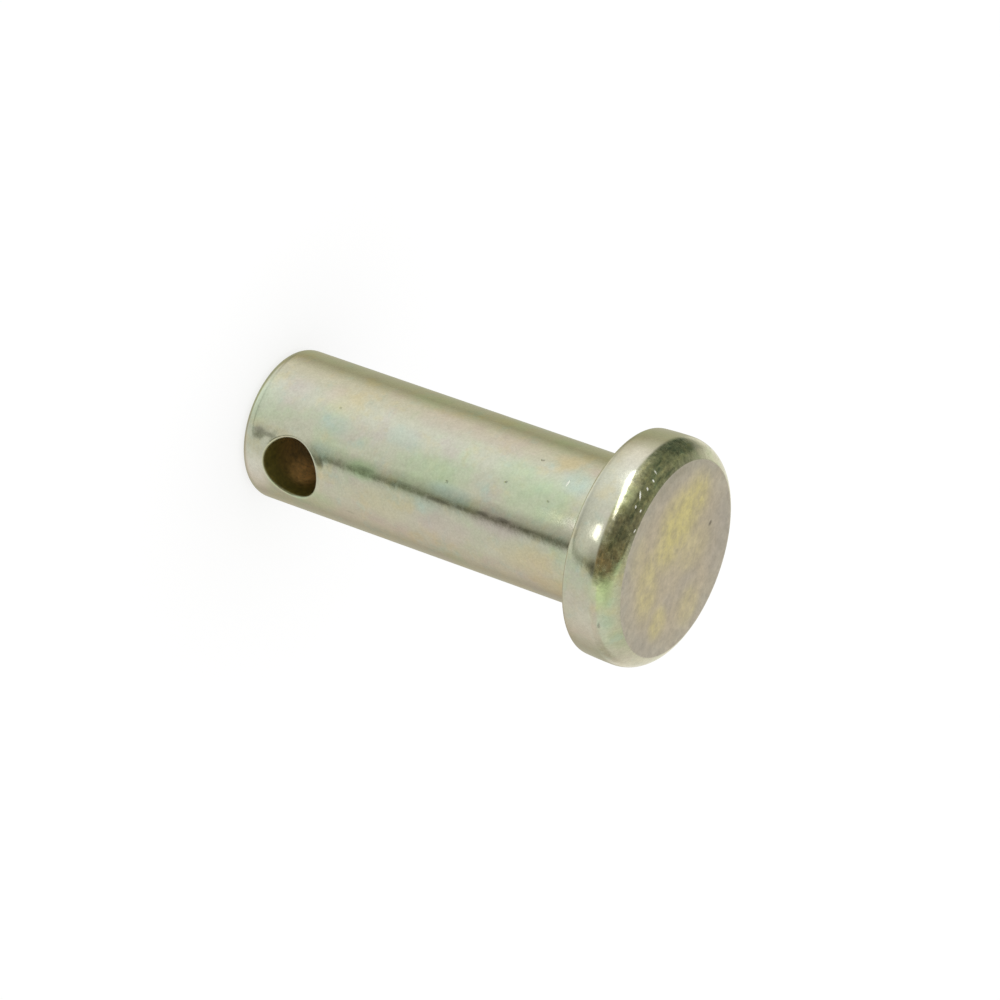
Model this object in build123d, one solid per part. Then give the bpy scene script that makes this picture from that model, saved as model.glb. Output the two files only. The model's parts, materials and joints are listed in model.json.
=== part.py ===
from build123d import *
import os

# Clevis pin, one piece: a plain round shank with an upset head at one end and
# a cross hole for a split pin near the other.
#
# The pin stands on its end face at z = 0 with the head on top. +Z runs along
# the pin's axis towards the head, and the cross hole runs along Y.
# Sizes are in millimetres.

# Shank
shank_dia = 7.9           # runs in an 8 mm or 5/16 in hole
grip_length = 20.8        # from the end face to the head's seat
end_round = 0.7           # rounded edge of the end face, for starting the pin in its fork
neck_round = 0.45         # fillet where the shank meets the head's seat

# Head
head_dia = 12.0           # over the widest ring of the side
head_height = 3.0         # from the seat to the flat face
side_draft = 0.1          # how much the side draws in from the widest ring down to the seat
seat_edge_round = 0.25    # rounded edge between the seat and the side
crown_height = 1.3        # height of the rounded shoulder below the face
crown_inset = 0.85        # how far the face's rim lies inside the widest ring

# Cross hole
hole_dia = 3.2
end_wall = 1.6            # metal left between the hole and the end face
hole_edge_round = 0.3     # rolled edge of the hole's two mouths
drill_overrun = 1.0       # how far the drill passes the shank at each side

shank_r = shank_dia / 2
head_r = head_dia / 2
seat_r = head_r - side_draft
face_r = head_r - crown_inset
hole_r = hole_dia / 2
hole_z = end_wall + hole_r

seat_z = grip_length
widest_z = seat_z + head_height - crown_height
face_z = seat_z + head_height


def corner(section, x, z):
    """The section's vertex at a sharp corner that lies at x and z."""
    return section.vertices().sort_by_distance((x, 0, z))[0]


def half_section():
    """The pin's outline to one side of its axis, with its corners rounded."""
    end = Polyline((0, 0), (shank_r, 0), (shank_r, seat_z), (seat_r, seat_z))
    # The side and the shoulder are arcs that share an upright tangent at the widest ring.
    side = TangentArc((head_r, widest_z), (seat_r, seat_z), tangent=(0, -1))
    shoulder = TangentArc((head_r, widest_z), (face_r, face_z), tangent=(0, 1))
    face = Polyline((face_r, face_z), (0, face_z), (0, 0))
    section = Plane.XZ * make_face([*end.edges(), side, shoulder, *face.edges()])

    for x, z, radius in (
        (shank_r, 0, end_round),
        (shank_r, seat_z, neck_round),
        (seat_r, seat_z, seat_edge_round),
    ):
        section = fillet(corner(section, x, z), radius)
    return section


def cross_drilled(blank):
    """The blank with its cross hole and the rolled edges of the hole's mouths."""
    drill = Pos(0, 0, hole_z) * Rot(90, 0, 0) * Cylinder(hole_r, shank_dia + 2 * drill_overrun)
    drilled = blank - drill
    # A mouth is where the round hole meets the round shank, and neither flat nor circular.
    mouths = drilled.edges().filter_by(lambda edge: edge.geom_type not in (GeomType.LINE, GeomType.CIRCLE))
    return fillet(mouths, hole_edge_round)


clevis_pin = cross_drilled(revolve(half_section(), Axis.Z))
clevis_pin.label = "clevis_pin"

os.makedirs("parts", exist_ok=True)
export_step(clevis_pin, "parts/clevis_pin.step")
print("volume", round(clevis_pin.volume, 1), "mm3")
print("height", round(clevis_pin.bounding_box().size.Z, 3), "mm")
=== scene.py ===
import json
import math

import bmesh
import bpy
from bpy.props import FloatProperty, FloatVectorProperty, IntProperty, PointerProperty
from mathutils import Matrix, Quaternion, Vector, noise


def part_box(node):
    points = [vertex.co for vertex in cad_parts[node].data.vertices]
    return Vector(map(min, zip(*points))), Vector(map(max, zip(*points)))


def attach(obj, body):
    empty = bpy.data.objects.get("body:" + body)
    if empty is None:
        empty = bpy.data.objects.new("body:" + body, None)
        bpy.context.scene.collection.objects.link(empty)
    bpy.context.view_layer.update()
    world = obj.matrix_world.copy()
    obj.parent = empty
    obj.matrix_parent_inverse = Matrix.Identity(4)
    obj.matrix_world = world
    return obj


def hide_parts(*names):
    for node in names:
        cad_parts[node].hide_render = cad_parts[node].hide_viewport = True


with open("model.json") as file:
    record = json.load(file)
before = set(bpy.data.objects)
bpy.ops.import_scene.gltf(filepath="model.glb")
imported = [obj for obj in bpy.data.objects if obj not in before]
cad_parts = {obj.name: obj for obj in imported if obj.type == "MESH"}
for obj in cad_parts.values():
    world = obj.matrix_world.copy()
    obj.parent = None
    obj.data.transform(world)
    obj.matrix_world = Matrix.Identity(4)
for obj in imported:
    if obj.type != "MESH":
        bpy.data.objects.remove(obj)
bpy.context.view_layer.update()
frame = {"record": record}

bl_info = {
    "name": "Clevis Pin",
    "version": (1, 0, 0),
    "blender": (4, 5, 0),
    "location": "3D View > Sidebar > Clevis Pin",
    "description": "A zinc-plated clevis pin with its cross hole, and the stage it is shown on",
    "category": "Add Mesh",
}

MM = 0.001
MOUNTS = {mount["name"]: mount for mount in frame["record"]["mounts"]}
SHANK_DIA = 2 * MOUNTS["shank"]["dims"]["r_mm"] * MM
SEAT_HEIGHT = MOUNTS["head_seat"]["pos_m"][2]
HOLE_DIA = 2 * MOUNTS["cross_hole"]["dims"]["r_mm"] * MM
HOLE_HEIGHT = MOUNTS["cross_hole"]["pos_m"][2]
LOW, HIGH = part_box("clevis_pin")

# Patches and marks of the plating, some of them painted light or painted reflection. Each has a kind, a place
# and half sizes in millimetres, a turn about the pin's axis in degrees, and how strongly it shows.
PATCHES = (
    # clouds on the shank, from the end face to the head
    # the silver patches here lighten the tint at the tip's edge
    ("silver", (0.90, -3.80, 0.90), (1.7, 1.7, 1.2), 0, 1.00),
    ("silver", (-2.98, -2.54, 0.50), (1.5, 1.5, 1.8), 0, 0.30),
    ("green", (-2.60, -2.90, 0.60), (1.6, 1.6, 1.6), 0, 0.60),
    ("rose", (-3.57, -1.69, 2.30), (1.0, 1.0, 1.3), 0, 0.48),
    ("green", (1.32, -3.72, 4.30), (1.0, 1.0, 2.2), 0, 0.80),
    ("teal", (-1.50, -3.65, 5.00), (0.7, 0.7, 1.0), 0, 0.50),
    ("straw", (-3.54, -1.75, 5.10), (1.2, 1.2, 1.8), 0, 0.35),
    ("teal", (-2.75, -2.83, 5.20), (0.9, 0.9, 1.3), 0, 0.34),
    ("green", (-1.34, -3.72, 7.50), (0.7, 0.7, 1.4), 0, 0.95),
    ("straw", (0.00, -3.95, 8.60), (1.2, 1.2, 2.6), 0, 0.32),
    ("teal", (-3.14, -2.40, 9.10), (0.8, 0.8, 1.5), 0, 0.31),
    ("rose", (-3.84, -0.94, 10.60), (1.1, 1.1, 2.6), 0, 0.44),
    ("green", (-2.23, -3.26, 11.20), (1.4, 1.4, 2.8), 0, 0.70),
    ("teal", (-0.71, -3.88, 11.40), (0.6, 0.6, 1.3), 0, 0.34),
    ("teal", (-1.69, -3.57, 12.70), (0.6, 0.6, 1.9), 0, 0.62),
    ("rose", (0.27, -3.94, 12.70), (1.2, 1.2, 3.0), 0, 0.48),
    ("rose", (-3.89, -0.68, 13.20), (1.1, 1.1, 2.4), 0, 0.44),
    ("rose", (-0.96, -3.83, 15.60), (0.8, 0.8, 2.5), 0, 0.64),
    ("green", (-3.20, -2.30, 15.80), (1.2, 1.2, 1.8), 0, 0.50),
    ("straw", (-3.88, -0.76, 17.80), (0.8, 0.8, 1.0), 0, 0.49),
    ("straw", (0.37, -3.93, 17.80), (1.3, 1.3, 2.3), 0, 0.52),
    ("green", (-2.71, -2.87, 17.90), (1.7, 1.7, 2.2), 0, 0.70),
    ("teal", (-3.56, -1.71, 19.00), (1.0, 1.0, 1.2), 0, 0.56),
    ("straw", (1.53, -3.64, 19.10), (1.2, 1.2, 1.6), 0, 0.56),
    # clouds on the head's side and shoulder, and the patches on its face
    # the silver patches here lighten the tint on the head's side
    ("silver", (-5.90, -1.06, 22.25), (2.8, 2.8, 1.15), 0, 0.95),
    ("silver", (2.20, -5.50, 22.10), (2.2, 2.2, 1.50), 0, 0.55),
    ("rose", (0.02, -5.98, 21.77), (1.3, 1.3, 1.3), 0, 0.35),
    ("teal", (1.00, -5.70, 23.24), (0.8, 0.8, 0.8), 0, 0.35),
    ("green", (-0.60, -5.60, 22.90), (1.3, 1.1, 0.9), 0, 0.70),
    ("gold", (-2.00, 0.20, 23.80), (2.4, 2.6, 3.0), 0, 1.00),
    ("gold", (-2.65, 1.60, 23.80), (2.0, 2.0, 3.0), 0, 0.75),
    ("gold", (-1.20, -0.80, 23.80), (2.1, 2.0, 3.0), 0, 0.70),
    ("gold", (0.35, -2.70, 23.80), (2.8, 1.5, 3.0), 0, 0.52),
    ("gold", (2.95, -1.60, 23.80), (1.3, 1.2, 3.0), 0, 0.60),
    ("gold", (3.30, 1.30, 23.80), (1.6, 1.4, 3.0), 0, 0.42),
    ("gold", (-1.60, -3.50, 23.80), (1.7, 1.2, 3.0), 0, 0.25),
    ("gold", (0.10, 1.50, 23.80), (1.6, 2.4, 3.0), 0, 0.32),
    ("grey", (-4.60, -1.40, 23.80), (1.4, 2.2, 3.0), 20, 0.25),
    ("grey", (3.10, -2.75, 23.80), (2.1, 1.9, 3.0), 0, 0.30),
    ("grey", (2.10, 1.10, 23.80), (1.5, 1.6, 3.0), 0, 0.50),
    ("grey", (2.30, -0.70, 23.80), (0.9, 0.9, 3.0), 0, 0.50),
    ("grey", (0.55, 4.00, 23.80), (3.4, 1.8, 3.0), 0, 0.60),
    # a red brown patch deep in the bore: rust, painted lighter than the wall as painted light
    ("rust", (1.40, -1.60, 2.60), (1.1, 1.3, 1.1), 0, 1.00),
    # pits, and a short dark score on the shoulder
    ("pit", (-3.35, -2.09, 5.05), (0.09, 0.09, 0.09), 0, 0.35),
    ("pit", (-2.10, -3.35, 12.36), (0.10, 0.10, 0.09), 0, 0.45),
    ("pit", (-2.85, -2.73, 15.45), (0.09, 0.09, 0.09), 0, 0.80),
    ("pit", (-3.77, -1.18, 16.60), (0.08, 0.08, 0.12), 0, 0.60),
    ("pit", (-2.68, -2.90, 18.05), (0.07, 0.07, 0.11), 0, 0.45),
    ("pit", (-0.55, 3.13, 23.80), (0.15, 0.24, 0.20), 20, 0.85),
    ("pit", (1.39, -3.70, 2.43), (0.16, 0.16, 0.16), 0, 0.40),
    ("pit", (1.29, -5.77, 22.98), (0.36, 0.10, 0.10), 0, 0.55),
    # dark dashes painted along the shank where it mirrors the table's dark far edge, a painted reflection;
    # the last lies off that line, a small dark smudge
    ("streak", (-1.50, -3.65, 1.15), (0.26, 0.26, 0.50), 0, 0.75),
    ("streak", (-1.44, -3.68, 1.70), (0.16, 0.16, 0.80), 0, 0.60),
    ("streak", (-1.41, -3.69, 7.60), (0.17, 0.17, 0.80), 0, 0.50),
    ("streak", (-1.36, -3.71, 10.10), (0.15, 0.15, 1.00), 0, 0.45),
    ("streak", (-1.15, -3.78, 12.10), (0.16, 0.16, 0.90), 0, 0.75),
    ("streak", (-1.17, -3.77, 13.50), (0.16, 0.16, 0.60), 0, 0.65),
    ("streak", (-1.27, -3.74, 14.75), (0.17, 0.17, 0.50), 0, 0.75),
    ("streak", (-1.30, -3.73, 16.00), (0.18, 0.18, 0.60), 0, 0.80),
    ("streak", (-1.22, -3.76, 17.30), (0.13, 0.13, 0.80), 0, 0.50),
    ("streak", (1.37, -3.70, 6.77), (0.12, 0.12, 0.30), 0, 0.30),
    # nicks on the shoulder and a scratch on the shank, laid bare by handling; their near white is also a
    # painted highlight for the glints they catch
    ("nick", (-5.52, -1.52, 23.34), (0.17, 0.04, 0.20), -20, 0.80),
    ("nick", (-5.25, -1.93, 23.49), (0.10, 0.06, 0.20), -25, 1.00),
    ("nick", (-5.04, -2.45, 23.48), (0.12, 0.06, 0.20), -30, 0.90),
    ("nick", (-4.86, -2.95, 23.32), (0.34, 0.04, 0.30), -42, 1.00),
    ("nick", (-4.27, -3.31, 23.66), (0.12, 0.05, 0.20), -50, 0.90),
    ("nick", (-4.48, -3.43, 23.44), (0.13, 0.04, 0.20), -45, 0.80),
    ("nick", (-3.48, -3.95, 23.74), (0.15, 0.04, 0.20), -52, 0.80),
    ("nick", (-3.46, -1.91, 18.55), (0.28, 0.04, 0.06), -58, 0.90),
)


def linear(hex_colour):
    """A colour written as sRGB hex, such as C8C7B0, as linear red, green and blue."""
    channels = [int(hex_colour[i:i + 2], 16) / 255 for i in (0, 2, 4)]
    return tuple(c / 12.92 if c <= 0.04045 else ((c + 0.055) / 1.055) ** 2.4 for c in channels)


def length(label, note, metres):
    """A length that a user may change."""
    return FloatProperty(name=label, description=note, default=metres, unit="LENGTH", precision=5)


def colour(label, note, hex_colour):
    """A colour that a user may change, given as sRGB hex."""
    return FloatVectorProperty(
        name=label, description=note, default=linear(hex_colour), subtype="COLOR", min=0.0, max=1.0
    )


def share(label, note, default):
    """A value from 0 to 1 that a user may change."""
    return FloatProperty(name=label, description=note, default=default, min=0.0, max=1.0, subtype="FACTOR")


def angle(label, note, degrees):
    """An angle that a user may change."""
    return FloatProperty(name=label, description=note, default=math.radians(degrees), unit="ROTATION")


class PinSizes(bpy.types.PropertyGroup):
    """Sizes of the pin, taken from the CAD frame where it states them."""

    shank_dia: length("Shank diameter", "Plain round shank", SHANK_DIA)
    seat_height: length("Grip length", "From the end face to the head's seat", SEAT_HEIGHT)
    head_dia: length("Head diameter", "Over the widest ring of the side", HIGH.x - LOW.x)
    total_height: length("Overall length", "From the end face to the head's face", HIGH.z)
    hole_dia: length("Hole diameter", "Cross hole for a split pin", HOLE_DIA)
    hole_height: length("Hole height", "From the end face to the hole", HOLE_HEIGHT)
    end_round: length("End round", "Rounded edge of the end face", 0.7 * MM)
    neck_round: length("Neck fillet", "Between the shank and the head's seat", 0.45 * MM)
    side_draft: length("Side draft", "How much the head's side draws in towards the seat", 0.1 * MM)
    seat_edge_round: length("Seat edge round", "Between the seat and the side", 0.25 * MM)
    crown_height: length("Shoulder height", "Height of the rounded shoulder below the face", 1.3 * MM)
    crown_inset: length("Shoulder inset", "How far the face's rim lies inside the widest ring", 0.85 * MM)
    face_edge_round: length("Face edge round", "Worn edge between the shoulder and the face", 0.12 * MM)
    hole_edge_round: length("Hole edge round", "Rolled edge of the hole's mouths", 0.12 * MM)
    lip_height: length("Lip height", "How far the shank swells at the hole's mouths", 0.03 * MM)
    lip_width: length("Lip width", "Width of the swollen ring round a mouth", 0.5 * MM)
    around: IntProperty(name="Steps around", description="Mesh steps around the axis", default=288, min=72)


class PinFinish(bpy.types.PropertyGroup):
    """Colours and gloss of the zinc and chromate plating."""

    plate: colour("Plate", "Silver that most of the plating has", "CCCBB7")
    green: colour("Green tint", "Pale green cloud in the chromate", "BECFAB")
    rose: colour("Rose tint", "Pale rose grey cloud in the chromate", "CCC0B8")
    straw: colour("Straw tint", "Straw cloud in the chromate", "D3C7A0")
    teal: colour("Teal tint", "Pale blue green cloud in the chromate", "B8CCC0")
    face: colour("Face", "Warm grey of the head's pressed face", "D1C5B5")
    rim: colour("Face rim", "Cool grey near the face's rim", "CAC3BA")
    grey: colour("Grey", "Lavender grey patches on the face", "C0B8B4")
    gold: colour("Gold", "Gold patches on the face, where the chromate lies thicker", "E1D6A0")
    # a paler silver laid on patches at the tip's edge and on the head's side, which lightens the tint there
    silver: colour("Bare silver", "Where the tip's edge and the head's side are rubbed pale", "DEDDD0")
    # the bore runs from a darker olive at the mouths to a lighter brown deeper in: partly the plating's own
    # colour, partly painted light
    mouth: colour("Bore mouth", "Olive brown wall of the drilled hole near its mouths", "5D5520")
    bore: colour("Bore", "Brown, thinly plated wall deep in the drilled hole", "91743C")
    # rust's red brown, lightened as painted light
    rust: colour("Rust", "Red brown patch in the bore", "D7AB66")
    # near white: bare metal in a nick, and a painted highlight for the glint it catches
    nick: colour("Nick", "Bright metal that a nick has laid bare", "FFFFF9")
    shank_roughness: share("Shank roughness", "Rolled and plated surface", 0.13)
    head_roughness: share("Head roughness", "Side and shoulder that the header's die has pressed", 0.115)
    face_roughness: share("Face roughness", "Pressed face", 0.38)
    bore_roughness: share("Bore roughness", "Drilled wall", 0.45)
    nick_roughness: share("Nick roughness", "Torn metal in a nick", 0.6)


class StageSettings(bpy.types.PropertyGroup):
    """Camera, floor and light of the stage."""

    place: FloatVectorProperty(
        name="Camera place",
        description="Where the camera stands",
        default=(-139.584 * MM, -200.881 * MM, 142.895 * MM),
        subtype="TRANSLATION",
        unit="LENGTH",
    )
    azimuth: angle("Azimuth", "Turn of the view about the pin's axis", -34.83)
    elevation: angle("Elevation", "How far the camera looks down", 27.892)
    roll: angle("Roll", "Turn of the camera about its own line of sight", 109.423)
    lens: FloatProperty(
        name="Lens",
        description="Focal length in millimetres on a 36 mm sensor",
        default=198.28,
    )
    floor_size: length("Floor size", "Width of the floor", 1.6)
    floor_white: share("Floor white", "Share of the floor's white that no shadow darkens", 0.72)
    box_light: FloatProperty(
        name="Box light",
        description="Turns the soft boxes up or down",
        default=1.0,
        min=0.0,
    )


def draw_line(bm, tip, end, steps):
    """Extrude the profile's last vertex to a point, in even steps."""
    stride = (Vector(end) - tip.co) / steps
    for _ in range(steps):
        tip = bmesh.ops.extrude_vert_indiv(bm, verts=[tip])["verts"][0]
        bmesh.ops.translate(bm, verts=[tip], vec=stride)
    return tip


def draw_arc(bm, tip, centre, sweep, steps):
    """Spin the profile's last vertex about a centre in the XZ plane."""
    spun = bmesh.ops.spin(
        bm,
        geom=[tip],
        cent=centre,
        axis=(0, -1, 0),
        dvec=(0, 0, 0),
        angle=sweep,
        steps=steps,
        use_merge=False,
        use_normal_flip=False,
        use_duplicate=False,
    )
    return spun["geom_last"][0]


def round_centre(arc_centre, arc_radius, edge_round, height):
    """Centre of a small round at a given height that touches a larger arc from within."""
    reach = math.sqrt((arc_radius - edge_round) ** 2 - (height - arc_centre.z) ** 2)
    return Vector((arc_centre.x + reach, 0, height))


def turned_blank(bm, size):
    """The pin before its hole is drilled: a half section in the XZ plane, spun about the axis."""
    shank = size.shank_dia / 2
    head = size.head_dia / 2
    seat = size.seat_height
    top = size.total_height
    widest = top - size.crown_height
    window = window_sizes(size)

    side_radius = (size.side_draft ** 2 + (widest - seat) ** 2) / (2 * size.side_draft)
    side_centre = Vector((head - side_radius, 0, widest))
    seat_round = round_centre(side_centre, side_radius, size.seat_edge_round, seat + size.seat_edge_round)
    side_start = math.atan2(seat_round.z - side_centre.z, seat_round.x - side_centre.x)

    crown_radius = (size.crown_inset ** 2 + size.crown_height ** 2) / (2 * size.crown_inset)
    crown_centre = Vector((head - crown_radius, 0, widest))
    face_round = round_centre(crown_centre, crown_radius, size.face_edge_round, top - size.face_edge_round)
    crown_end = math.atan2(face_round.z - crown_centre.z, face_round.x - crown_centre.x)

    # from the middle of the end face to the middle of the head's face; each call ends with its mesh steps
    quarter = math.pi / 2
    tip = bm.verts.new((0, 0, 0))
    tip = draw_line(bm, tip, (shank - size.end_round, 0, 0), 10)
    tip = draw_arc(bm, tip, (shank - size.end_round, 0, size.end_round), quarter, 12)
    tip = draw_line(bm, tip, (shank, 0, window["low"]), 1)
    tip = draw_line(bm, tip, (shank, 0, window["high"]), 20)
    tip = draw_line(bm, tip, (shank, 0, seat - size.neck_round), 56)
    tip = draw_arc(bm, tip, (shank + size.neck_round, 0, seat - size.neck_round), -quarter, 6)
    tip = draw_line(bm, tip, (seat_round.x, 0, seat), 6)
    tip = draw_arc(bm, tip, seat_round, quarter + side_start, 8)
    tip = draw_arc(bm, tip, side_centre, -side_start, 10)
    tip = draw_arc(bm, tip, crown_centre, crown_end, 18)
    tip = draw_arc(bm, tip, face_round, quarter - crown_end, 5)
    # the face has fine steps, so that its rim can be pressed
    draw_line(bm, tip, (0, 0, top), 60)
    bmesh.ops.spin(
        bm,
        geom=bm.verts[:] + bm.edges[:],
        cent=(0, 0, 0),
        axis=(0, 0, 1),
        dvec=(0, 0, 0),
        angle=math.tau,
        steps=size.around,
        use_merge=True,
        use_normal_flip=False,
        use_duplicate=False,
    )
    bmesh.ops.remove_doubles(bm, verts=bm.verts, dist=1e-7)


def window_sizes(size):
    """The patch of the shank's mesh that gives way to a mouth of the cross hole."""
    margin = 0.7 * MM
    reach = size.hole_dia / 2 + margin
    return {
        "low": size.hole_height - reach,
        "high": size.hole_height + reach,
        "half_turn": math.radians(40),
    }


def mouth_stations(size, side):
    """Where the rings round one mouth lie, from the window's edge to the middle of the bore.

    Each station gives a vertex's new place from the place on the window's edge that it began at.
    """
    shank = size.shank_dia / 2
    bore = size.hole_dia / 2
    edge_round = size.hole_edge_round
    lip = shank + size.lip_height
    flat_rings = 18
    round_rings = 8
    bore_rings = 14

    def ball_centre(start):
        # the rolled edge is the path of a ball that runs inside the metal, touching lip and bore
        turn = math.atan2(start.z - size.hole_height, start.x)
        x = (bore + edge_round) * math.cos(turn)
        z = size.hole_height + (bore + edge_round) * math.sin(turn)
        return turn, Vector((x, side * math.sqrt((lip - edge_round) ** 2 - x * x), z))

    def on_shank(start, part):
        # the shank's round, which swells a little over the lip's width
        centre = ball_centre(start)[1]
        x = start.x + (centre.x * lip / (lip - edge_round) - start.x) * part
        z = start.z + (centre.z - start.z) * part
        from_mouth = math.hypot(x, z - size.hole_height) - bore - edge_round
        near = min(1, max(0, 1 - from_mouth / size.lip_width))
        radius = shank + size.lip_height * near * near * (3 - 2 * near)
        return Vector((x, side * math.sqrt(radius * radius - x * x), z))

    def on_round(start, part):
        turn, centre = ball_centre(start)
        outward = Vector((centre.x, centre.y, 0)).normalized()
        inward = Vector((-math.cos(turn), 0, -math.sin(turn)))
        return centre + outward.slerp(inward, part) * edge_round

    def in_bore(start, part):
        turn, centre = ball_centre(start)
        x = bore * math.cos(turn)
        z = size.hole_height + bore * math.sin(turn)
        return Vector((x, centre.y * (1 - part), z))

    # the powers crowd the rings towards the rolled edge
    stations = [(on_shank, 1 - (1 - k / flat_rings) ** 1.2) for k in range(1, flat_rings + 1)]
    stations += [(on_round, k / round_rings) for k in range(1, round_rings + 1)]
    stations += [(in_bore, (k / bore_rings) ** 1.3) for k in range(1, bore_rings + 1)]
    return stations


def drill_mouth(bm, size, side):
    """Open a window on one side of the shank and extrude its edge into the mouth and half the bore."""
    window = window_sizes(size)
    began = bm.verts.layers.float_vector.get("began") or bm.verts.layers.float_vector.new("began")
    taken = []
    for face in bm.faces:
        middle = face.calc_center_median()
        off_axis = abs(math.atan2(middle.x, side * middle.y))
        if window["low"] < middle.z < window["high"] and off_axis < window["half_turn"]:
            taken.append(face)
    bmesh.ops.delete(bm, geom=taken, context="FACES")
    rim = [edge for edge in bm.edges if edge.is_boundary and edge.verts[0].co.y * side > size.hole_dia / 2]
    for edge in rim:
        for vert in edge.verts:
            vert[began] = vert.co
    # each station is one more ring, and rim becomes the ring's free edge
    for place, part in mouth_stations(size, side):
        made = bmesh.ops.extrude_edge_only(bm, edges=rim)["geom"]
        fresh = {item for item in made if isinstance(item, bmesh.types.BMVert)}
        rim = [item for item in made if isinstance(item, bmesh.types.BMEdge) and fresh.issuperset(item.verts)]
        for vert in fresh:
            vert.co = place(vert[began], part)


def settle_head(bm, size):
    """The upset head isn't a perfect turned form: it wanders inwards a little, and its face dips."""
    wander_depth = 0.035 * MM
    wander_width = 3.5 * MM
    wander_seed = Vector((4.1, 2.7, 9.3))
    pressed_depth = 0.04 * MM
    pressed_width = 0.6 * MM
    # parts of the head's height: the seat stays as it was turned, and the wander is full above the second
    seat_part = 0.05
    full_part = 0.3
    falloff = 6
    face_rim = size.head_dia / 2 - size.crown_inset
    for vert in bm.verts:
        across = Vector((vert.co.x, vert.co.y, 0))
        rise = (vert.co.z - size.seat_height) / (size.total_height - size.seat_height)
        if rise < seat_part or across.length < size.shank_dia / 2:
            continue
        sway = 0.5 + 0.5 * noise.noise(vert.co / wander_width + wander_seed)
        weight = min(1, rise / full_part) * min(1, (across.length / (size.head_dia / 2)) ** falloff)
        vert.co -= across.normalized() * sway * weight * wander_depth
        # the face's rim is pressed down on the side towards -X
        towards = max(0, -across.x / across.length) ** falloff
        reach = min(1, max(0, (across.length - face_rim + pressed_width) / pressed_width))
        near_face = max(0, (vert.co.z - size.total_height) / size.crown_height + 1)
        vert.co.z -= pressed_depth * towards * reach * reach * (3 - 2 * reach) * near_face


def add_node(tree, kind, settings=None, inputs=None):
    """Add a node, set its own settings, and fill or link its sockets.

    A setting named stops holds the places and colours of a colour ramp's stops.
    """
    node = tree.nodes.new(kind)
    for name, value in (settings or {}).items():
        if name == "stops":
            elements = node.color_ramp.elements
            while len(elements) < len(value):
                elements.new(0.5)
            for element, (position, shade) in zip(elements, value):
                element.position = position
                element.color = (*shade, 1)
        else:
            setattr(node, name, value)
    for name, value in (inputs or {}).items():
        socket = node.inputs[name]
        if isinstance(value, bpy.types.NodeSocket):
            tree.links.new(value, socket)
        elif socket.type == "RGBA" and len(value) == 3:
            socket.default_value = (*value, 1)
        else:
            socket.default_value = value
    return node


def clean_tree(owner):
    """An empty node tree for a material or a world."""
    owner.use_nodes = True
    owner.node_tree.nodes.clear()
    return owner.node_tree


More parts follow.
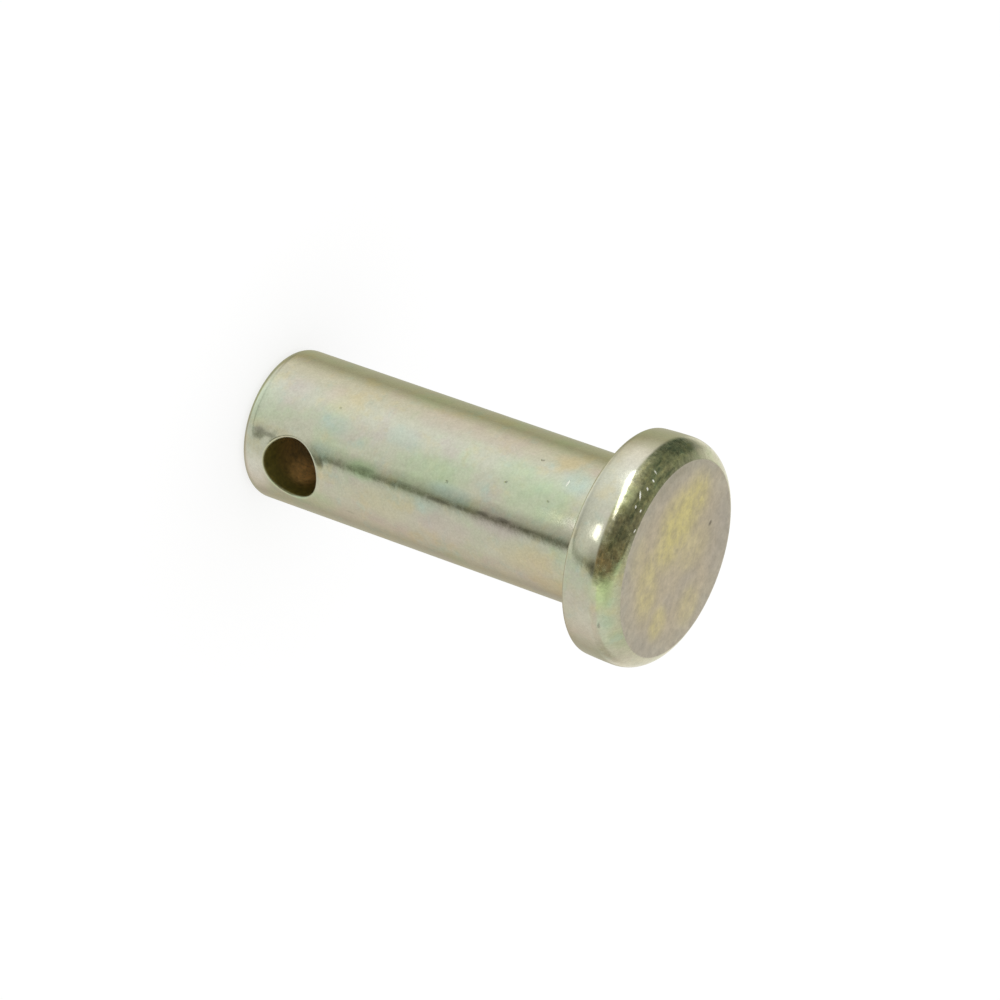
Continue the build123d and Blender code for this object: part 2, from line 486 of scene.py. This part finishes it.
def zinc_chromate(size, finish):
    """Zinc electroplate under a clear iridescent chromate, over rolled and cold-headed steel.

    The eye gets a pale straw metal with soft green, rose and teal clouds a few millimetres wide,
    a fine mottle, sharp but slightly wavering reflections on the shank and the head's side,
    a duller gold and lavender face, and a brown bore where little zinc was thrown, painted lighter deeper in
    as painted light.
    Dark dashes along the shank are a painted reflection, and the near-white nicks are partly a painted
    highlight.
    """
    material = bpy.data.materials.new("zinc_chromate_plating")
    tree = clean_tree(material)
    coords = add_node(tree, "ShaderNodeTexCoord").outputs["Object"]
    parts = add_node(tree, "ShaderNodeSeparateXYZ", {}, {"Vector": coords}).outputs

    # noises: width in millimetres, detail and seed. The zinc's crystals are drawn at 0.12 mm,
    # coarser than they are, because finer ones wouldn't show.
    noises = {}
    for name, width, detail, seed in (
        ("green", 2.4, 4.0, 1.0),
        ("rose", 1.8, 4.0, 7.0),
        ("straw", 1.3, 4.0, 2.0),
        ("teal", 1.0, 4.0, 4.0),
        ("ragged", 1.1, 2.0, 5.0),
        ("waves", 1.4, 2.0, 6.0),
        ("mottle", 0.45, 3.0, 3.0),
        ("blotch", 0.24, 3.0, 9.0),
        ("specks", 0.28, 2.0, 8.0),
        ("grain", 0.12, 1.0, 0.0),
    ):
        noises[name] = add_node(tree, "ShaderNodeTexNoise", {"noise_dimensions": "4D"}, {
            "Vector": coords,
            "W": seed,
            "Scale": 1 / (width * MM),
            "Detail": detail,
            "Roughness": 0.6,
        }).outputs

    # places wander a little either way, so marks and patches have ragged outlines
    sway = 0.08 * MM
    wander = add_node(tree, "ShaderNodeVectorMath", {"operation": "MULTIPLY_ADD"}, {
        0: noises["specks"]["Color"],
        1: (2 * sway,) * 3,
        2: coords,
    })
    wander = add_node(tree, "ShaderNodeVectorMath", {"operation": "SUBTRACT"}, {
        0: wander.outputs["Vector"],
        1: (sway,) * 3,
    })
    # a patch is a soft ball: it fades over this share of its half sizes, and nicks keep their outline
    fade = 0.7
    patches = {}
    for kind, place, half_sizes, turn, strength in PATCHES:
        placed = add_node(tree, "ShaderNodeMapping", {"vector_type": "TEXTURE"}, {
            "Vector": coords if kind == "nick" else wander.outputs["Vector"],
            "Location": [part * MM for part in place],
            "Rotation": (0, 0, math.radians(turn)),
            "Scale": [part * MM for part in half_sizes],
        })
        ball = add_node(tree, "ShaderNodeTexGradient", {"gradient_type": "SPHERICAL"}, {
            "Vector": placed.outputs["Vector"],
        })
        patch = add_node(tree, "ShaderNodeMapRange", {"interpolation_type": "SMOOTHSTEP"}, {
            "Value": ball.outputs["Fac"],
            "From Max": fade,
            "To Max": strength,
        }).outputs["Result"]
        if kind in patches:
            patch = add_node(tree, "ShaderNodeMath", {"operation": "MAXIMUM"}, {
                0: patches[kind],
                1: patch,
            }).outputs["Value"]
        patches[kind] = patch

    # measures for the masks: distance from the axis and from the hole's line, depth in the bore, and
    # how far a place lies towards the worn side of the head
    axis_distance = add_node(tree, "ShaderNodeVectorMath", {"operation": "LENGTH"}, {
        0: add_node(tree, "ShaderNodeVectorMath", {"operation": "MULTIPLY"}, {
            0: coords,
            1: (1, 1, 0),
        }).outputs["Vector"],
    }).outputs["Value"]
    hole_distance = add_node(tree, "ShaderNodeVectorMath", {"operation": "LENGTH"}, {
        0: add_node(tree, "ShaderNodeMapping", {"vector_type": "POINT"}, {
            "Vector": coords,
            "Location": (0, 0, -size.hole_height),
            "Scale": (1, 0, 1),
        }).outputs["Vector"],
    }).outputs["Value"]
    depth = add_node(tree, "ShaderNodeMath", {"operation": "ABSOLUTE"}, {0: parts["Y"]}).outputs["Value"]
    worn_side = (-0.86, -0.50, 0)
    worn = add_node(tree, "ShaderNodeVectorMath", {"operation": "DOT_PRODUCT"}, {
        0: coords,
        1: worn_side,
    }).outputs["Value"]
    top = size.total_height
    face_rim = size.head_dia / 2 - size.crown_inset
    wall = size.hole_dia / 2
    # masks for the parts of the pin that differ, each from a place to a place along a measure
    masks = {}
    for name, measure, start, full in (
        ("shoulder", parts["Z"], top - size.crown_height, top - 0.8 * size.crown_height),
        ("worn", worn, 0.27 * size.head_dia, 0.38 * size.head_dia),
        ("top", parts["Z"], top - 0.4 * MM, top - 0.3 * MM),
        ("face", axis_distance, face_rim + 0.04 * MM, face_rim - 0.06 * MM),
        ("head", parts["Z"], size.seat_height, size.seat_height + 0.15 * MM),
        ("rim", axis_distance, 0.28 * size.head_dia, 0.42 * size.head_dia),
        ("bore", hole_distance, wall + 0.10 * MM, wall + 0.01 * MM),
        ("shank", axis_distance, 0.54 * size.shank_dia, 0.51 * size.shank_dia),
        ("deep", depth, 0.42 * size.shank_dia, 0.2 * size.shank_dia),
    ):
        masks[name] = add_node(tree, "ShaderNodeMapRange", {"interpolation_type": "SMOOTHSTEP"}, {
            "Value": measure,
            "From Min": start,
            "From Max": full,
        }).outputs["Result"]
    for name, operation, other in (
        ("face", "MULTIPLY", "top"),
        ("shoulder", "SUBTRACT", "face"),
        ("worn", "MULTIPLY", "shoulder"),
    ):
        masks[name] = add_node(tree, "ShaderNodeMath", {"operation": operation, "use_clamp": True}, {
            0: masks[name],
            1: masks[other],
        }).outputs["Value"]

    # tints, laid one over the other: thin clouds all over, then the patches, the face and the bore
    thin = 0.5
    tint = tuple(finish.plate)
    for name, start, full in (
        ("green", 0.48, 0.66),
        ("rose", 0.50, 0.68),
        ("straw", 0.50, 0.68),
        ("teal", 0.53, 0.72),
    ):
        cloud = add_node(tree, "ShaderNodeMapRange", {"interpolation_type": "SMOOTHSTEP"}, {
            "Value": noises[name]["Fac"],
            "From Min": start,
            "From Max": full,
            "To Max": thin,
        })
        tint = add_node(tree, "ShaderNodeMix", {"data_type": "RGBA"}, {
            0: cloud.outputs["Result"],
            6: tint,
            7: tuple(getattr(finish, name)),
        }).outputs[2]
    # the patches are broken by one noise, and those on the face by a finer one too
    ragged = add_node(tree, "ShaderNodeMapRange", {}, {
        "Value": noises["ragged"]["Fac"],
        "From Min": 0.30,
        "From Max": 0.62,
        "To Min": 0.55,
        "To Max": 1.15,
    }).outputs["Result"]
    broken = {}
    for name in ("green", "teal", "rose", "straw", "silver", "gold", "grey"):
        broken[name] = add_node(tree, "ShaderNodeMath", {"operation": "MULTIPLY", "use_clamp": True}, {
            0: ragged,
            1: patches[name],
        }).outputs["Value"]
    flecked = add_node(tree, "ShaderNodeMapRange", {}, {
        "Value": noises["mottle"]["Fac"],
        "From Min": 0.36,
        "From Max": 0.60,
        "To Min": 0.75,
        "To Max": 1.10,
    }).outputs["Result"]
    for name in ("gold", "grey"):
        broken[name] = add_node(tree, "ShaderNodeMath", {"operation": "MULTIPLY", "use_clamp": True}, {
            0: broken[name],
            1: flecked,
        }).outputs["Value"]
    rim = add_node(tree, "ShaderNodeMath", {"operation": "MULTIPLY"}, {0: masks["rim"], 1: ragged})
    lower = add_node(tree, "ShaderNodeMix", {"data_type": "RGBA"}, {
        0: rim.outputs["Value"],
        6: tuple(finish.face),
        7: tuple(finish.rim),
    }).outputs[2]
    for name in ("grey", "gold"):
        lower = add_node(tree, "ShaderNodeMix", {"data_type": "RGBA"}, {
            0: broken[name],
            6: lower,
            7: tuple(getattr(finish, name)),
        }).outputs[2]
    # darker olive at the mouths, lighter brown deeper in: the brown is the thin plating, and the lightening
    # with depth is painted light
    bore_tint_and_painted_light = add_node(tree, "ShaderNodeMix", {"data_type": "RGBA"}, {
        0: masks["deep"],
        6: tuple(finish.mouth),
        7: tuple(finish.bore),
    }).outputs[2]
    bore_tint_and_painted_light = add_node(tree, "ShaderNodeMix", {"data_type": "RGBA"}, {
        0: patches["rust"],
        6: bore_tint_and_painted_light,
        7: tuple(finish.rust),
    }).outputs[2]
    for amount, over in (
        (broken["green"], tuple(finish.green)),
        (broken["teal"], tuple(finish.teal)),
        (broken["rose"], tuple(finish.rose)),
        (broken["straw"], tuple(finish.straw)),
        (broken["silver"], tuple(finish.silver)),
        (masks["face"], lower),
        (masks["bore"], bore_tint_and_painted_light),
    ):
        tint = add_node(tree, "ShaderNodeMix", {"data_type": "RGBA"}, {
            0: amount,
            6: tint,
            7: over,
        }).outputs[2]

    # light and dark: how much each noise sways the tint, with the strongest blotches where the shoulder is
    # worn and in the bore, then dark pits, dark dashes that paint the reflection of the table's dark edge on
    # the shank, and near-white nicks, partly painted highlight, over all
    blotches = {}
    for name, pattern in (
        ("shoulder", "blotch"),
        ("worn", "blotch"),
        ("shank", "mottle"),
        ("face", "mottle"),
        ("bore", "blotch"),
    ):
        blotches[name] = add_node(tree, "ShaderNodeMath", {"operation": "MULTIPLY"}, {
            0: masks[name],
            1: add_node(tree, "ShaderNodeMath", {"operation": "SUBTRACT"}, {
                0: noises[pattern]["Fac"],
                1: 0.5,
            }).outputs["Value"],
        }).outputs["Value"]
    even_shade = 0.76
    shade = even_shade
    for pattern, amount in (
        (noises["mottle"]["Fac"], 0.20),
        (noises["grain"]["Fac"], 0.28),
        (blotches["shoulder"], 0.35),
        (blotches["worn"], 1.50),
        (blotches["face"], 0.45),
        (blotches["bore"], 1.80),
        (patches["pit"], -0.60),
        # dark dashes along the mirrored dark edge on the shank, a painted reflection
        (patches["streak"], -0.42),
    ):
        shade = add_node(tree, "ShaderNodeMath", {"operation": "MULTIPLY_ADD"}, {
            0: pattern,
            1: amount,
            2: shade,
        }).outputs["Value"]
    shaded = add_node(tree, "ShaderNodeVectorMath", {"operation": "SCALE"}, {"Vector": tint, "Scale": shade})
    # nicks go near white over all: bare metal, and a painted highlight for their glints
    base = add_node(tree, "ShaderNodeMix", {"data_type": "RGBA"}, {
        0: patches["nick"],
        6: shaded.outputs["Vector"],
        7: tuple(finish.nick),
    }).outputs[2]

    # gloss: duller specks a quarter of a millimetre wide break up what the shank and the shoulder mirror
    shank_dulling = 0.06
    shoulder_dulling = 0.20
    speck = add_node(tree, "ShaderNodeMapRange", {"interpolation_type": "SMOOTHSTEP"}, {
        "Value": noises["specks"]["Fac"],
        "From Min": 0.42,
        "From Max": 0.72,
    }).outputs["Result"]
    rough = add_node(tree, "ShaderNodeMath", {"operation": "MULTIPLY_ADD"}, {
        0: speck,
        1: shank_dulling,
        2: finish.shank_roughness,
    }).outputs["Value"]
    rough = add_node(tree, "ShaderNodeMix", {"data_type": "FLOAT"}, {
        0: masks["head"],
        2: rough,
        3: finish.head_roughness,
    }).outputs[0]
    rough = add_node(tree, "ShaderNodeMath", {"operation": "MULTIPLY_ADD"}, {
        0: add_node(tree, "ShaderNodeMath", {"operation": "MULTIPLY"}, {
            0: speck,
            1: masks["shoulder"],
        }).outputs["Value"],
        1: shoulder_dulling,
        2: rough,
    }).outputs["Value"]
    for amount, over in (
        (masks["face"], finish.face_roughness),
        (masks["bore"], finish.bore_roughness),
        (patches["nick"], finish.nick_roughness),
    ):
        rough = add_node(tree, "ShaderNodeMix", {"data_type": "FLOAT"}, {
            0: amount,
            2: rough,
            3: over,
        }).outputs[0]
    # the bore's thin plating and a nick's torn metal scatter more than they mirror
    thin_plating = 0.3
    dull = add_node(tree, "ShaderNodeMath", {"operation": "MAXIMUM"}, {
        0: masks["bore"],
        1: patches["nick"],
    })
    metallic = add_node(tree, "ShaderNodeMapRange", {}, {
        "Value": dull.outputs["Value"],
        "To Min": 1.0,
        "To Max": thin_plating,
    }).outputs["Result"]

    # relief, each pattern by its height in millimetres: slow waves left by rolling, the mottle, the grain,
    # the blotches, and the marks
    relief = 0.0
    for pattern, height in (
        (noises["waves"]["Fac"], 0.009),
        (noises["mottle"]["Fac"], 0.0028),
        (noises["grain"]["Fac"], 0.0005),
        (blotches["shoulder"], 0.004),
        (blotches["shank"], 0.0008),
        (blotches["face"], -0.0024),
        (patches["pit"], -0.010),
        (patches["nick"], 0.004),
    ):
        relief = add_node(tree, "ShaderNodeMath", {"operation": "MULTIPLY_ADD"}, {
            0: pattern,
            1: height * MM,
            2: relief,
        }).outputs["Value"]
    bump = add_node(tree, "ShaderNodeBump", {}, {"Height": relief, "Distance": 1.0, "Strength": 1.0})
    shader = add_node(tree, "ShaderNodeBsdfPrincipled", {}, {
        "Base Color": base,
        "Metallic": metallic,
        "Roughness": rough,
        "Normal": bump.outputs["Normal"],
    })
    add_node(tree, "ShaderNodeOutputMaterial", {}, {"Surface": shader.outputs["BSDF"]})
    return material


class MESH_OT_clevis_pin(bpy.types.Operator):
    """Turn the pin, drill its cross hole with rolled mouths, and plate it"""

    bl_idname = "mesh.clevis_pin"
    bl_label = "Clevis Pin"
    bl_options = {"REGISTER", "UNDO"}

    def execute(self, context):
        size = context.scene.pin_sizes
        bm = bmesh.new()
        turned_blank(bm, size)
        for side in (-1, 1):
            drill_mouth(bm, size, side)
        bmesh.ops.remove_doubles(bm, verts=[vert for vert in bm.verts if vert.is_boundary], dist=1e-6)
        settle_head(bm, size)
        bmesh.ops.recalc_face_normals(bm, faces=bm.faces)
        if not all(edge.is_manifold for edge in bm.edges):
            raise RuntimeError("the pin's mesh isn't closed")
        for face in bm.faces:
            face.smooth = True
        mesh = bpy.data.meshes.new("plated_pin")
        bm.to_mesh(mesh)
        bm.free()
        pin = bpy.data.objects.new("plated_pin", mesh)
        context.scene.collection.objects.link(pin)
        mesh.materials.append(zinc_chromate(size, context.scene.pin_finish))
        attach(pin, "root")
        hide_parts("clevis_pin")
        return {"FINISHED"}


# The studio as the plating mirrors it, laid on layer by layer: how the layer blends, its colours by
# one measure, and how much of it shows by another. Angles are in degrees, azimuths from the
# camera's side. A bend is an elevation counted from a parabola. Colours are light and linear.
STUDIO = (
    # the dim room, and its pale wall on one side
    ("MIX", "azimuth", (
        (-180, (0.98, 0.95, 0.85)),
        (-154, (0.92, 0.90, 0.77)),
        (-133, (0.13, 0.15, 0.10)),
        (-104, (0.11, 0.13, 0.09)),
        (-88, (0.22, 0.24, 0.15)),
        (-62, (0.29, 0.30, 0.18)),
        (-34, (0.36, 0.40, 0.22)),
        (-18, (0.18, 0.18, 0.11)),
        (4, (0.14, 0.14, 0.09)),
        (24, (0.25, 0.19, 0.11)),
        (40, (0.27, 0.25, 0.17)),
        (50, (0.92, 0.97, 0.68)),
        (64, (0.86, 0.92, 0.68)),
        (90, (0.79, 0.82, 0.73)),
        (135, (0.74, 0.70, 0.64)),
        (150, (0.90, 0.86, 0.78)),
        (180, (0.98, 0.95, 0.85)),
    ), "elevation", ((-90, 1), (90, 1))),
    # the foot of the pale wall, warmer than the wall
    ("MULTIPLY", "azimuth", (
        (44, (1, 1, 1)),
        (52, (0.97, 0.87, 1.18)),
        (90, (1.00, 0.87, 0.90)),
        (128, (0.70, 0.66, 0.62)),
        (150, (1, 1, 1)),
    ), "elevation", ((-26, 0), (-23, 1), (-6, 1), (2, 0))),
    # what is overhead, and the zenith
    ("MIX", "azimuth", (
        (-180, (0.62, 0.62, 0.54)),
        (-162, (0.32, 0.33, 0.25)),
        (-124, (0.27, 0.29, 0.19)),
        (2, (0.15, 0.15, 0.10)),
        (22, (0.25, 0.20, 0.13)),
        (34, (0.22, 0.18, 0.12)),
        (42, (0.34, 0.35, 0.22)),
        (56, (0.72, 0.78, 0.54)),
        (90, (0.76, 0.80, 0.66)),
        (140, (0.72, 0.70, 0.62)),
        (180, (0.62, 0.62, 0.54)),
    ), "elevation", ((12, 0), (34, 1))),
    ("MIX", "azimuth", (
        (-180, (0.40, 0.40, 0.32)),
        (-150, (0.22, 0.22, 0.15)),
        (42, (0.20, 0.20, 0.13)),
        (66, (0.50, 0.50, 0.35)),
        (140, (0.55, 0.54, 0.43)),
        (180, (0.40, 0.40, 0.32)),
    ), "elevation", ((64, 0), (80, 1))),
    # things in the room, too dim to make out
    ("MULTIPLY", "clutter", (
        (0.34, (0.42, 0.52, 0.48)),
        (0.48, (0.95, 0.95, 0.92)),
        (0.64, (1.45, 1.35, 1.15)),
    ), "azimuth", ((-150, 0), (-130, 1), (34, 1), (44, 0))),
    # the glow above the table's bright part
    ("ADD", "azimuth", (
        (-92, (0, 0, 0)),
        (-72, (0.22, 0.22, 0.17)),
        (-50, (0.38, 0.38, 0.30)),
        (-28, (0.46, 0.50, 0.36)),
        (-10, (0.36, 0.36, 0.28)),
        (6, (0.20, 0.20, 0.16)),
        (15, (0, 0, 0)),
    ), "elevation", ((-26, 1), (-14, 0.8), (4, 0.25), (14, 0))),
    # a softer glow above that, further back in the room
    ("ADD", "azimuth", (
        (-68, (0, 0, 0)),
        (-54, (0.34, 0.35, 0.30)),
        (-40, (0.50, 0.52, 0.44)),
        (-30, (0.32, 0.33, 0.26)),
        (-22, (0.14, 0.14, 0.11)),
        (-8, (0.08, 0.08, 0.06)),
        (4, (0, 0, 0)),
    ), "elevation", ((-22, 0), (-12, 1), (2, 0.55), (14, 0.35), (27, 0.35), (38, 0))),
    # the pale table
    ("MIX", "azimuth", (
        (-180, (0.52, 0.50, 0.40)),
        (-136, (0.51, 0.51, 0.36)),
        (-122, (0.48, 0.46, 0.33)),
        (-110, (0.65, 0.63, 0.50)),
        (-94, (0.93, 0.885, 0.80)),
        (-78, (0.97, 0.95, 0.90)),
        (-58, (1.02, 1.05, 1.06)),
        (-42, (0.99, 1.02, 1.04)),
        (-26, (0.90, 0.92, 0.92)),
        (2, (0.84, 0.855, 0.825)),
        (10, (0.86, 0.87, 0.83)),
        (20, (0.82, 0.82, 0.77)),
        (39, (0.74, 0.77, 0.74)),
        (86, (0.80, 0.785, 0.745)),
        (118, (0.70, 0.63, 0.565)),
        (136, (0.53, 0.485, 0.41)),
        (180, (0.52, 0.50, 0.40)),
    ), "elevation", ((-26, 1), (-19, 0))),
    # its dark far edge, soft on one side and crisp on the other
    ("MULTIPLY", "azimuth", (
        (-18, 1),
        (2, 0.99),
        (10, 0.97),
        (14, 0.85),
        (20, 0.71),
        (26, (0.59, 0.60, 0.56)),
        (30.5, (0.39, 0.39, 0.33)),
        (33, (0.31, 0.31, 0.24)),
        (35.5, (0.29, 0.28, 0.21)),
        (39, (0.90, 0.87, 0.80)),
        (43, 0.97),
        (48, 1),
    ), "elevation", ((-31.5, 0), (-30, 1), (-26, 1), (-19, 0))),
    ("MULTIPLY", "azimuth", (
        (26, 1),
        (32, 0.45),
        (36, 0.32),
        (42, 0.30),
        (46, 1),
    ), "elevation", ((-27.6, 0), (-26.8, 1), (-24, 1), (-19, 0))),
    # the same edge where it turns down in a thin arc, and where it runs on below the bright part
    ("MULTIPLY", "bend", (
        (-41.2, 1),
        (-39.6, (0.46, 0.49, 0.42)),
        (-37.6, (0.46, 0.49, 0.42)),
        (-36.2, 1),
    ), "azimuth", ((2, 0), (12, 0.6), (20, 0.9), (38, 1), (41.5, 0))),
    ("MULTIPLY", "elevation", (
        (-48, 0.95),
        (-41, 0.58),
        (-38, 0.46),
        (-36, 0.66),
        (-34, 0.87),
        (-31, 1),
    ), "azimuth", (
        (-140, 0.2),
        (-100, 0.7),
        (-82, 0.55),
        (-60, 0.35),
        (-22, 0.5),
        (-6, 0.75),
        (12, 0.7),
        (20, 0.2),
        (26, 0),
    )),
)

# The soft boxes close by: the place of each, what it is aimed at on the head, its width and height, all
# in millimetres, its turn about its own aim in degrees, its radiance, where 1 is white, and its colour.
SOFT_BOXES = (
    ("long_box", (-33.8, -10.6, 14.3), (-5.03, -3.27, 22.45), (35.0, 8.6), 21, 1.8, "FCFFFC"),
    ("small_box", (-20.07, -29.88, 5.45), (-3.38, -4.95, 22.20), (9.5, 1.8), 0, 2.5, "FFFFFF"),
)


def studio_world(camera_side):
    """White to the camera and to the floor, while the plating mirrors a studio with a table and a room."""
    world = bpy.data.worlds.new("studio")
    tree = clean_tree(world)
    from_camera = add_node(tree, "ShaderNodeVectorRotate", {"rotation_type": "Z_AXIS"}, {
        "Vector": add_node(tree, "ShaderNodeTexCoord").outputs["Generated"],
        "Angle": -camera_side,
    }).outputs["Vector"]
    parts = add_node(tree, "ShaderNodeSeparateXYZ", {}, {"Vector": from_camera}).outputs
    azimuth = add_node(tree, "ShaderNodeMath", {"operation": "ARCTAN2"}, {
        0: parts["Y"],
        1: parts["X"],
    })
    elevation = add_node(tree, "ShaderNodeMath", {"operation": "ARCSINE"}, {0: parts["Z"]})
    clutter = add_node(tree, "ShaderNodeTexNoise", {}, {
        "Vector": from_camera,
        "Scale": 9.0,
        "Detail": 3.0,
    })
    # the bend's parabola, in radians, is lowest a little beside the camera
    lowest = math.radians(5)
    steepness = 0.52
    beside = add_node(tree, "ShaderNodeMath", {"operation": "SUBTRACT"}, {
        0: azimuth.outputs["Value"],
        1: lowest,
    }).outputs["Value"]
    bend = add_node(tree, "ShaderNodeMath", {"operation": "MULTIPLY_ADD"}, {
        0: add_node(tree, "ShaderNodeMath", {"operation": "MULTIPLY"}, {
            0: beside,
            1: beside,
        }).outputs["Value"],
        1: -steepness,
        2: elevation.outputs["Value"],
    })
    # each measure, and what it reads in radians and degrees where a ramp starts and ends
    measures = {
        "azimuth": (azimuth.outputs["Value"], math.pi, 180),
        "elevation": (elevation.outputs["Value"], math.pi / 2, 90),
        "bend": (bend.outputs["Value"], math.pi / 2, 90),
        "clutter": (clutter.outputs["Fac"], 1, 1),
    }
    surround = (0.0, 0.0, 0.0)
    for blend, by, colours, shown_by, shows in STUDIO:
        ramps = []
        for measure, stops in ((by, colours), (shown_by, shows)):
            value, reach, end = measures[measure]
            along = add_node(tree, "ShaderNodeMapRange", {}, {
                "Value": value,
                "From Min": -reach,
                "From Max": reach,
            }).outputs["Result"]
            placed = [
                ((place + end) / (2 * end), shade if isinstance(shade, tuple) else (shade,) * 3)
                for place, shade in stops
            ]
            ramp = add_node(tree, "ShaderNodeValToRGB", {"stops": placed}, {"Fac": along})
            ramps.append(ramp.outputs["Color"])
        surround = add_node(tree, "ShaderNodeMix", {"data_type": "RGBA", "blend_type": blend}, {
            0: ramps[1],
            6: surround,
            7: ramps[0],
        }).outputs[2]
    studio = add_node(tree, "ShaderNodeBackground", {}, {"Color": surround, "Strength": 1.0})
    white = add_node(tree, "ShaderNodeBackground", {}, {"Color": (1, 1, 1), "Strength": 1.0})
    mixed = add_node(tree, "ShaderNodeMixShader", {}, {
        0: add_node(tree, "ShaderNodeLightPath").outputs["Is Glossy Ray"],
        1: white.outputs["Background"],
        2: studio.outputs["Background"],
    })
    add_node(tree, "ShaderNodeOutputWorld", {}, {"Surface": mixed.outputs["Shader"]})
    # each kind of ray has its own answer, so the world isn't sampled as a lamp
    world.cycles.sampling_method = "NONE"
    return world


def pale_floor(white_share):
    """A white board: part of its white is steady, and the rest darkens where the pin shades it."""
    material = bpy.data.materials.new("white_board")
    tree = clean_tree(material)
    # a little over 1, so that the board stays white a small way into the pin's own shade
    whole_white = 1.02
    board = add_node(tree, "ShaderNodeBsdfDiffuse", {}, {"Color": (whole_white - white_share,) * 3})
    steady = add_node(tree, "ShaderNodeEmission", {}, {
        "Color": (1, 1, 1),
        "Strength": add_node(tree, "ShaderNodeMath", {"operation": "MULTIPLY"}, {
            0: add_node(tree, "ShaderNodeLightPath").outputs["Is Camera Ray"],
            1: white_share,
        }).outputs["Value"],
    })
    both = add_node(tree, "ShaderNodeAddShader", {}, {
        0: board.outputs["BSDF"],
        1: steady.outputs["Emission"],
    })
    add_node(tree, "ShaderNodeOutputMaterial", {}, {"Surface": both.outputs["Shader"]})
    return material


class SCENE_OT_pin_stage(bpy.types.Operator):
    """Set up the floor, the studio's light and the camera"""

    bl_idname = "scene.pin_stage"
    bl_label = "Stage"
    bl_options = {"REGISTER", "UNDO"}

    def execute(self, context):
        scene = context.scene
        settings = scene.pin_stage

        # the floor lies a hair below the end face, so that the two don't share a plane
        drop = 0.01 * MM
        bm = bmesh.new()
        bmesh.ops.create_grid(bm, x_segments=1, y_segments=1, size=settings.floor_size / 2)
        bmesh.ops.translate(bm, verts=bm.verts, vec=(0, 0, -drop))
        mesh = bpy.data.meshes.new("floor")
        bm.to_mesh(mesh)
        bm.free()
        floor = bpy.data.objects.new("floor", mesh)
        scene.collection.objects.link(floor)
        mesh.materials.append(pale_floor(settings.floor_white))
        floor.visible_glossy = False

        turn = settings.azimuth
        rise = settings.elevation
        back = Vector((
            math.sin(turn) * math.cos(rise),
            -math.cos(turn) * math.cos(rise),
            math.sin(rise),
        ))
        level = Vector((0, 0, 1)).cross(back).normalized()
        right = Matrix.Rotation(settings.roll, 3, back) @ level
        up = back.cross(right)
        camera = bpy.data.objects.new("camera", bpy.data.cameras.new("camera"))
        scene.collection.objects.link(camera)
        facing = Matrix((right, up, back)).transposed().to_4x4()
        camera.matrix_world = Matrix.Translation(settings.place) @ facing
        camera.data.sensor_width = 36
        camera.data.lens = settings.lens
        camera.data.clip_start = 10 * MM
        camera.data.clip_end = 10
        scene.camera = camera

        for name, place, target, (width, height), own_turn, radiance, shade in SOFT_BOXES:
            light = bpy.data.lights.new(name, "AREA")
            light.shape = "ELLIPSE"
            light.size = width * MM
            light.size_y = height * MM
            light.color = linear(shade)
            # a flat lamp's power is pi times its radiance times its area, here an ellipse's
            area = math.pi / 4 * light.size * light.size_y
            light.energy = settings.box_light * radiance * math.pi * area
            box = bpy.data.objects.new(name, light)
            scene.collection.objects.link(box)
            box.location = Vector(place) * MM
            aim = (Vector(place) - Vector(target)).to_track_quat("Z", "Y")
            box.rotation_mode = "QUATERNION"
            box.rotation_quaternion = aim @ Quaternion((0, 0, 1), math.radians(own_turn))

        camera_side = math.atan2(back.y, back.x)
        scene.world = studio_world(camera_side)
        scene.view_settings.view_transform = "Standard"
        return {"FINISHED"}


class VIEW3D_PT_clevis_pin(bpy.types.Panel):
    """Sizes, finish and stage of the clevis pin"""

    bl_idname = "VIEW3D_PT_clevis_pin"
    bl_label = "Clevis Pin"
    bl_space_type = "VIEW_3D"
    bl_region_type = "UI"
    bl_category = "Clevis Pin"

    def draw(self, context):
        scene = context.scene
        for operator, group in (
            (MESH_OT_clevis_pin, scene.pin_sizes),
            (None, scene.pin_finish),
            (SCENE_OT_pin_stage, scene.pin_stage),
        ):
            box = self.layout.box()
            if operator:
                box.operator(operator.bl_idname)
            for name in group.__annotations__:
                box.prop(group, name)


CLASSES = (
    PinSizes,
    PinFinish,
    StageSettings,
    MESH_OT_clevis_pin,
    SCENE_OT_pin_stage,
    VIEW3D_PT_clevis_pin,
)


def register():
    for cls in CLASSES:
        bpy.utils.register_class(cls)
    bpy.types.Scene.pin_sizes = PointerProperty(type=PinSizes)
    bpy.types.Scene.pin_finish = PointerProperty(type=PinFinish)
    bpy.types.Scene.pin_stage = PointerProperty(type=StageSettings)


def unregister():
    del bpy.types.Scene.pin_stage
    del bpy.types.Scene.pin_finish
    del bpy.types.Scene.pin_sizes
    for cls in reversed(CLASSES):
        bpy.utils.unregister_class(cls)


def main():
    register()
    bpy.ops.mesh.clevis_pin()
    bpy.ops.scene.pin_stage()


if __name__ == "__main__":
    main()
